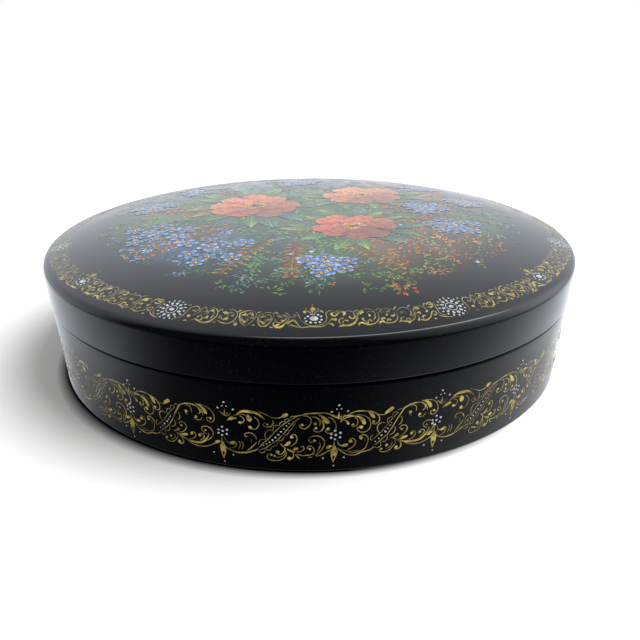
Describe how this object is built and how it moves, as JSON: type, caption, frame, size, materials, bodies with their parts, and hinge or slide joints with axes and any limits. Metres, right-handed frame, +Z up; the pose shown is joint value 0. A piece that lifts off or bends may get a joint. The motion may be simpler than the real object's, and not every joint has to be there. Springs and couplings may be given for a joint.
{
  "type": "russian lacquer box",
  "caption": "Round black papier-mache lacquer box with tapered walls, a red lining sleeve and a domed lift-off lid with gold scroll borders.",
  "frame": {"origin": "centre of the foot, on the surface that the box stands on", "axes": "+Z up along the axis that every piece is turned about; -Y is the side that the picture shows in front"},
  "size_m": [0.15, 0.15, 0.0389],
  "materials": {
    "black_lacquer": "polished",
    "red_lacquer": "polished",
    "gold_paint": "satin",
    "white_paint": "gloss",
    "colour_paint": "gloss"
  },
  "bodies": {
    "base": {"base_wall": "black_lacquer", "base_floor": "black_lacquer", "inner_sleeve": "red_lacquer"},
    "lid": {"lid_wall": "black_lacquer", "lid_top": "black_lacquer"}
  },
  "joints": [
    {"name": "lid_lift", "type": "slide", "parent": "base", "child": "lid", "axis": [0, 0, 1], "range_m": [0, 0.06]}
  ]
}
